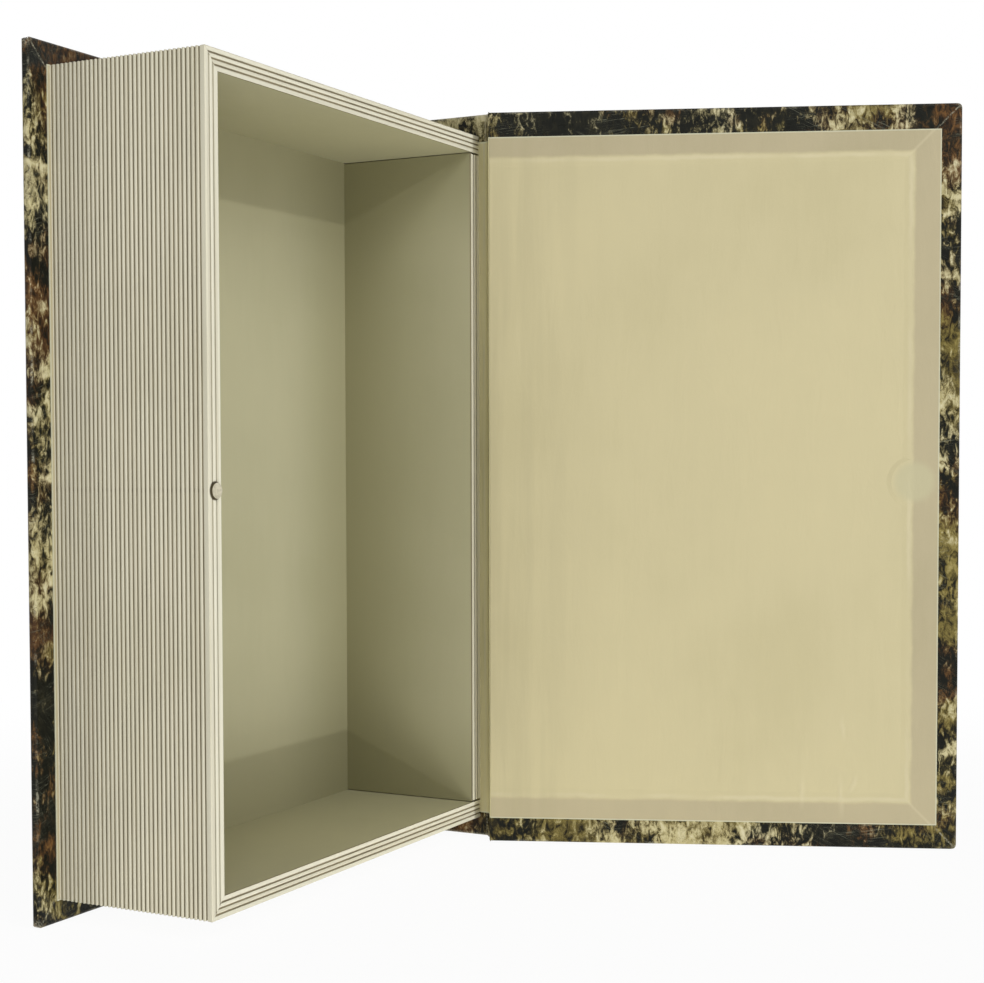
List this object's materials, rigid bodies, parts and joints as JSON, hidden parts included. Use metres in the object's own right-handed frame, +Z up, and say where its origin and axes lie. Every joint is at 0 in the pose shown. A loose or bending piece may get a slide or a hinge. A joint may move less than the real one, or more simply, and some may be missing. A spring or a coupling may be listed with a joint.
{
  "type": "book box",
  "caption": "Storage box made like a hardback book: a shallow tray with page-edge walls in a three-board case whose front cover opens on a paper hinge.",
  "frame": {"origin": "on the ground below the middle of the whole part's box, with the front cover open as in the picture", "axes": "+Z up along the spine's height, +X from the fore edge to the spine, +Y from the front cover to the back cover"},
  "size_m": [0.2642, 0.252, 0.3012],
  "materials": {
    "printed_paper": "satin printed paper, dark green-brown mottle",
    "grey_board": "uncoated grey board",
    "page_card": "matt cream card with pressed grooves",
    "lining_paper": "matt cream paper",
    "liner_paper": "matt cream paper",
    "joint_paper": "matt cream paper, creased",
    "steel": "dull plated steel"
  },
  "bodies": {
    "tray_case": {"back_board": "grey_board", "back_wrap": "printed_paper", "back_liner": "liner_paper", "back_joint_wrap": "printed_paper", "spine_board": "grey_board", "spine_wrap": "printed_paper", "tray_floor": "grey_board", "fore_edge_wall": "grey_board", "spine_wall": "grey_board", "head_wall": "grey_board", "tail_wall": "grey_board", "fore_edge_pages": "page_card", "head_pages": "page_card", "tail_pages": "page_card", "spine_rim_pages": "page_card", "floor_lining": "lining_paper", "fore_edge_lining": "lining_paper", "spine_lining": "lining_paper", "head_lining": "lining_paper", "tail_lining": "lining_paper", "catch_magnet": "steel"},
    "joint_strip": {"front_joint_wrap": "printed_paper", "front_joint_liner": "joint_paper"},
    "front_cover": {"front_board": "grey_board", "front_wrap": "printed_paper", "front_liner": "liner_paper", "catch_plate": "steel"}
  },
  "joints": [
    {"name": "spine_fold", "type": "hinge", "parent": "tray_case", "child": "joint_strip", "pos_m": [0.06753, 0.05704, 0], "axis": [0, 0, 1], "range_deg": [-36, 64], "deforming": ["front_joint_wrap", "front_joint_liner"]},
    {"name": "board_fold", "type": "hinge", "parent": "joint_strip", "child": "front_cover", "pos_m": [0.05979, 0.04999, 0], "axis": [0, 0, 1], "range_deg": [-76, 27]}
  ]
}
